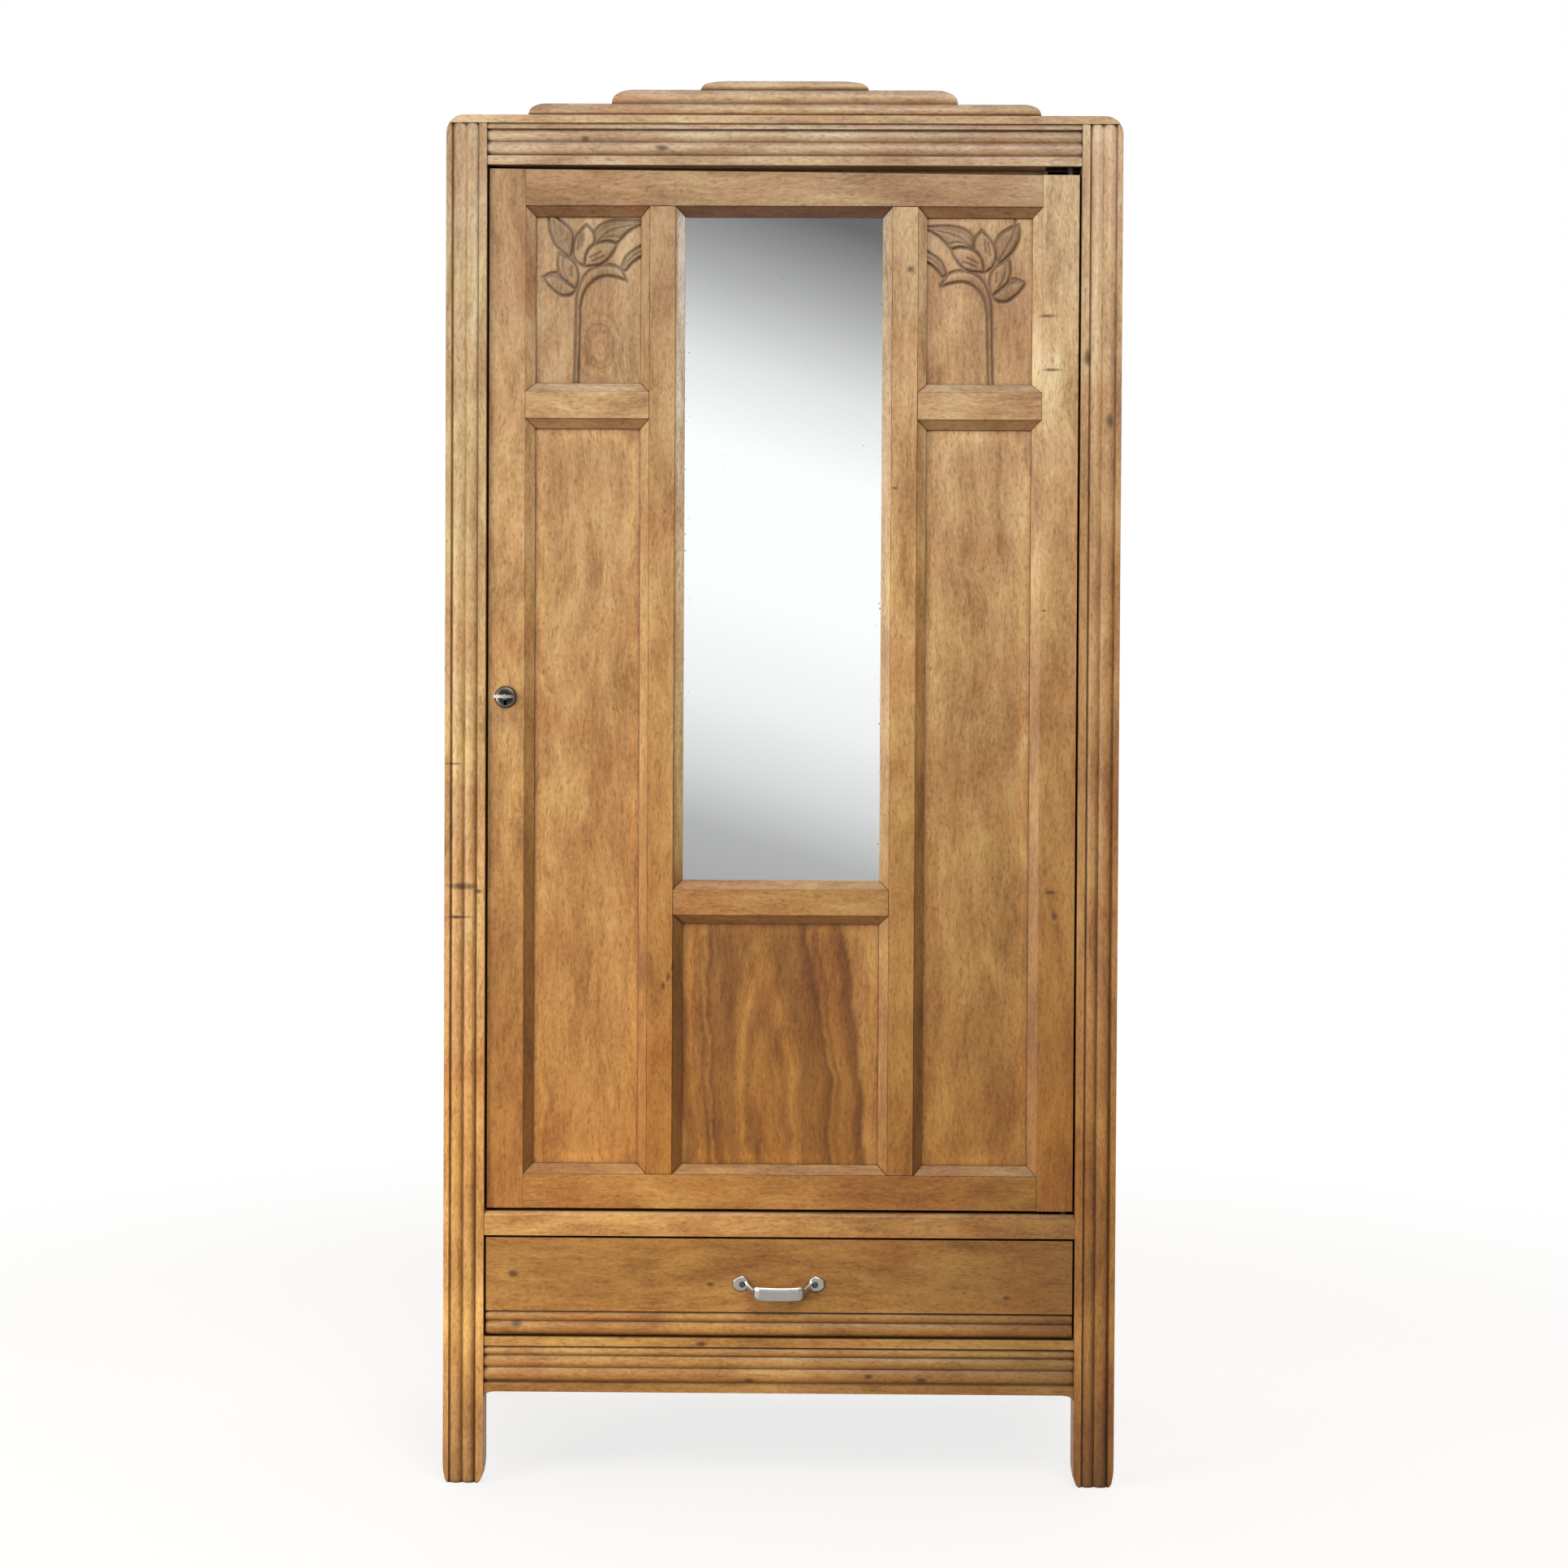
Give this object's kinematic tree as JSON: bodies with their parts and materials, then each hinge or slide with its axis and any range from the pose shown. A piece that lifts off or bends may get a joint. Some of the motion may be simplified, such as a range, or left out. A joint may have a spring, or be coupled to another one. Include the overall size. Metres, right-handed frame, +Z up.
{
  "type": "wardrobe",
  "caption": "Oak wardrobe with a framed mirror door hinged on the right, carved upper panels, a drawer below, reeded posts and a stepped crest.",
  "frame": {"origin": "centre of the base of the whole object's box, on the floor", "axes": "+X to the viewer's right, +Y from the front to the back, +Z up"},
  "size_m": [0.95, 0.536, 1.98],
  "materials": {
    "oak": "waxed honey oak, satin, worn edges",
    "oak_panel": "waxed oak veneer panel, satin",
    "plain_wood": "planed, unfinished",
    "plywood": "thin ply, unfinished",
    "mirror": "silvered plain glass",
    "nickel": "satin nickel plate",
    "aged_steel": "aged, dark",
    "brass": "dull brass"
  },
  "bodies": {
    "carcass": {"front_post_left": "oak", "front_post_right": "oak", "rear_post_left": "oak", "rear_post_right": "oak", "side_top_rail_left": "oak", "side_top_rail_right": "oak", "side_mid_rail_left": "oak", "side_mid_rail_right": "oak", "side_bottom_rail_left": "oak", "side_bottom_rail_right": "oak", "side_upper_panel_left": "oak_panel", "side_upper_panel_right": "oak_panel", "side_lower_panel_left": "oak_panel", "side_lower_panel_right": "oak_panel", "frieze_rail": "oak", "cornice_board": "oak", "crest_board": "oak", "divider_rail": "oak", "apron_rail": "oak", "back_top_rail": "oak", "back_bottom_rail": "oak", "back_muntin": "oak", "back_panels": "plywood", "floor_board": "plain_wood", "hat_shelf": "plain_wood", "shelf_bearers": "plain_wood", "hanging_rail": "plain_wood", "rail_sockets": "brass", "drawer_runners": "plain_wood", "door_stops": "plain_wood", "strike_plate": "aged_steel", "frame_pivot_plates": "brass"},
    "door": {"lock_stile": "oak", "hinge_stile": "oak", "door_top_rail": "oak", "door_bottom_rail": "oak", "door_muntin_left": "oak", "door_muntin_right": "oak", "door_mid_rail_left": "oak", "door_mid_rail_right": "oak", "mirror_rail": "oak", "carved_panel_left": "oak_panel", "carved_panel_right": "oak_panel", "long_panel_left": "oak_panel", "long_panel_right": "oak_panel", "centre_panel": "oak_panel", "mirror_glass": "mirror", "mirror_back_board": "plywood", "mirror_beads": "plain_wood", "door_pivot_plates": "brass", "lock_case": "aged_steel", "escutcheon": "aged_steel"},
    "bolt": {"lock_bolt": "aged_steel"},
    "key": {"door_key": "aged_steel"},
    "drawer": {"drawer_front": "oak", "drawer_sides": "plain_wood", "drawer_back": "plain_wood", "drawer_bottom": "plywood", "drawer_handle": "nickel", "handle_screws": "aged_steel"}
  },
  "joints": [
    {"name": "door_swing", "type": "hinge", "parent": "carcass", "child": "door", "pos_m": [0.403, -0.218, 0.39], "axis": [0, 0, 1], "range_deg": [0, 110]},
    {"name": "drawer_slide", "type": "slide", "parent": "carcass", "child": "drawer", "axis": [0, -1, 0], "range_m": [0, 0.33]},
    {"name": "key_turn", "type": "hinge", "parent": "door", "child": "key", "pos_m": [-0.39, -0.224, 1.114], "axis": [0, -1, 0], "range_deg": [0, 360]},
    {"name": "bolt_slide", "type": "slide", "parent": "door", "child": "bolt", "axis": [-1, 0, 0], "range_m": [0, 0.012]}
  ],
  "couplings": [
    {"joint": "bolt_slide", "follows": "key_turn", "m_per_rad": 0.00159}
  ]
}
